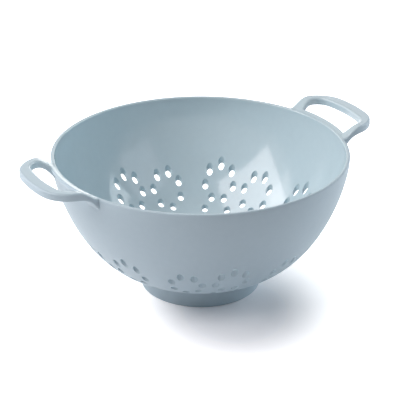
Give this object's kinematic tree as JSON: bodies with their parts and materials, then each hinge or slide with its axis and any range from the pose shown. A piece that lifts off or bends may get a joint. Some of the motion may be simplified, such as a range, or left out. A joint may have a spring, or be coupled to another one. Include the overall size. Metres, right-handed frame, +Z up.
{
  "type": "colander",
  "caption": "Deep round moulded colander with drain holes in rings, a low foot ring and a flat loop handle on each side of the rim.",
  "frame": {"origin": "middle of the face of the foot ring that the colander stands on", "axes": "+Z up through the middle of the bowl, X through both handles, with +X towards the right handle"},
  "size_m": [0.304, 0.24, 0.1247],
  "materials": {
    "melamine": "compression-moulded melamine, glossy inside and satin outside"
  },
  "bodies": {
    "root": {"bowl": "melamine", "foot_ring": "melamine", "left_handle": "melamine", "right_handle": "melamine"}
  },
  "joints": []
}
